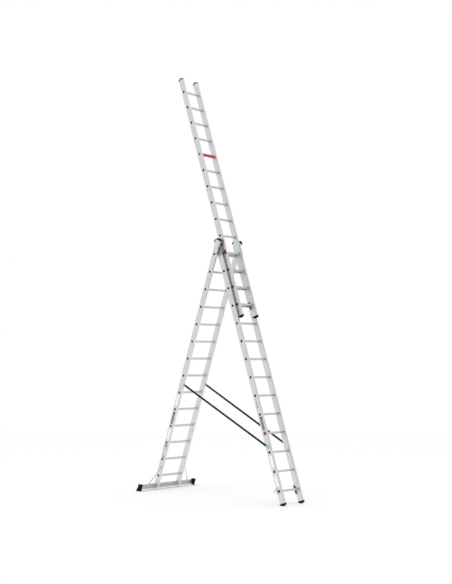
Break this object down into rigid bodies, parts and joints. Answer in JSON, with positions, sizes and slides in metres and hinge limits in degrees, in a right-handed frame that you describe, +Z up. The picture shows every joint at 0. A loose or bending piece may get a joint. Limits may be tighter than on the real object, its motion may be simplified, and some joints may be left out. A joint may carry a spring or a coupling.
{
  "type": "extension ladder",
  "caption": "Aluminium combination ladder opened as a stepladder, with its third section run out above the hinge, floor stabiliser bar and spreader straps.",
  "frame": {"origin": "centre of the bounding box at floor level, the ladder standing open", "axes": "+X across the ladder along its rungs, +Y from the stabiliser bar side towards the side that carries the extension, +Z up"},
  "size_m": [1.1806, 2.7572, 6.5256],
  "materials": {
    "stile_aluminium": "satin mill finish extrusion",
    "rung_aluminium": "satin mill finish, ribbed tread",
    "bar_aluminium": "satin mill finish extrusion",
    "shaft_steel": "dark zinc plated",
    "foot_rubber": "matt moulded",
    "guide_plastic": "fine moulded grain",
    "latch_plastic": "moulded",
    "strap_webbing": "woven flat webbing"
  },
  "bodies": {
    "middle": {"hinge_shaft": "shaft_steel", "middle_foot_left": "foot_rubber", "middle_foot_right": "foot_rubber", "middle_rung_01": "rung_aluminium", "middle_rung_02": "rung_aluminium", "middle_rung_03": "rung_aluminium", "middle_rung_04": "rung_aluminium", "middle_rung_05": "rung_aluminium", "middle_rung_06": "rung_aluminium", "middle_rung_07": "rung_aluminium", "middle_rung_08": "rung_aluminium", "middle_rung_09": "rung_aluminium", "middle_rung_10": "rung_aluminium", "middle_rung_11": "rung_aluminium", "middle_rung_12": "rung_aluminium", "middle_rung_13": "rung_aluminium", "middle_rung_14": "rung_aluminium", "middle_stile_left": "stile_aluminium", "middle_stile_right": "stile_aluminium", "spreader_strap_left": "strap_webbing", "spreader_strap_right": "strap_webbing", "top_guide_left": "guide_plastic", "top_guide_right": "guide_plastic"},
    "lower": {"lower_rung_01": "rung_aluminium", "lower_rung_02": "rung_aluminium", "lower_rung_03": "rung_aluminium", "lower_rung_04": "rung_aluminium", "lower_rung_05": "rung_aluminium", "lower_rung_06": "rung_aluminium", "lower_rung_07": "rung_aluminium", "lower_rung_08": "rung_aluminium", "lower_rung_09": "rung_aluminium", "lower_rung_10": "rung_aluminium", "lower_rung_11": "rung_aluminium", "lower_rung_12": "rung_aluminium", "lower_rung_13": "rung_aluminium", "lower_rung_14": "rung_aluminium", "lower_stile_left": "stile_aluminium", "lower_stile_right": "stile_aluminium", "stabiliser_bar": "bar_aluminium", "stabiliser_cap_left": "foot_rubber", "stabiliser_cap_right": "foot_rubber"},
    "top": {"top_rung_01": "rung_aluminium", "top_rung_02": "rung_aluminium", "top_rung_03": "rung_aluminium", "top_rung_04": "rung_aluminium", "top_rung_05": "rung_aluminium", "top_rung_06": "rung_aluminium", "top_rung_07": "rung_aluminium", "top_rung_08": "rung_aluminium", "top_rung_09": "rung_aluminium", "top_rung_10": "rung_aluminium", "top_rung_11": "rung_aluminium", "top_rung_12": "rung_aluminium", "top_rung_13": "rung_aluminium", "top_rung_14": "rung_aluminium", "top_stile_left": "stile_aluminium", "top_stile_right": "stile_aluminium"},
    "middle_latch": {"middle_latch": "latch_plastic"},
    "top_latch": {"top_latch": "latch_plastic"}
  },
  "joints": [
    {"name": "fold", "type": "hinge", "parent": "middle", "child": "lower", "pos_m": [0, 0.04715, 3.6525], "axis": [1, 0, 0], "range_deg": [0, 39.14], "deforming": ["spreader_strap_left", "spreader_strap_right"]},
    {"name": "extend", "type": "slide", "parent": "middle", "child": "top", "axis": [0, -0.3256, 0.9455], "range_m": [-2.8, 0]},
    {"name": "middle_latch_turn", "type": "hinge", "parent": "middle", "child": "middle_latch", "pos_m": [0, 1.23752, 0.1862], "axis": [1, 0, 0], "range_deg": [-20, 0], "stiffness_Nm_per_rad": 0.5, "springref_deg": 11.46},
    {"name": "top_latch_turn", "type": "hinge", "parent": "top", "child": "top_latch", "pos_m": [0, 0.38833, 2.85514], "axis": [1, 0, 0], "range_deg": [-20, 0], "stiffness_Nm_per_rad": 0.5, "springref_deg": 11.46}
  ]
}
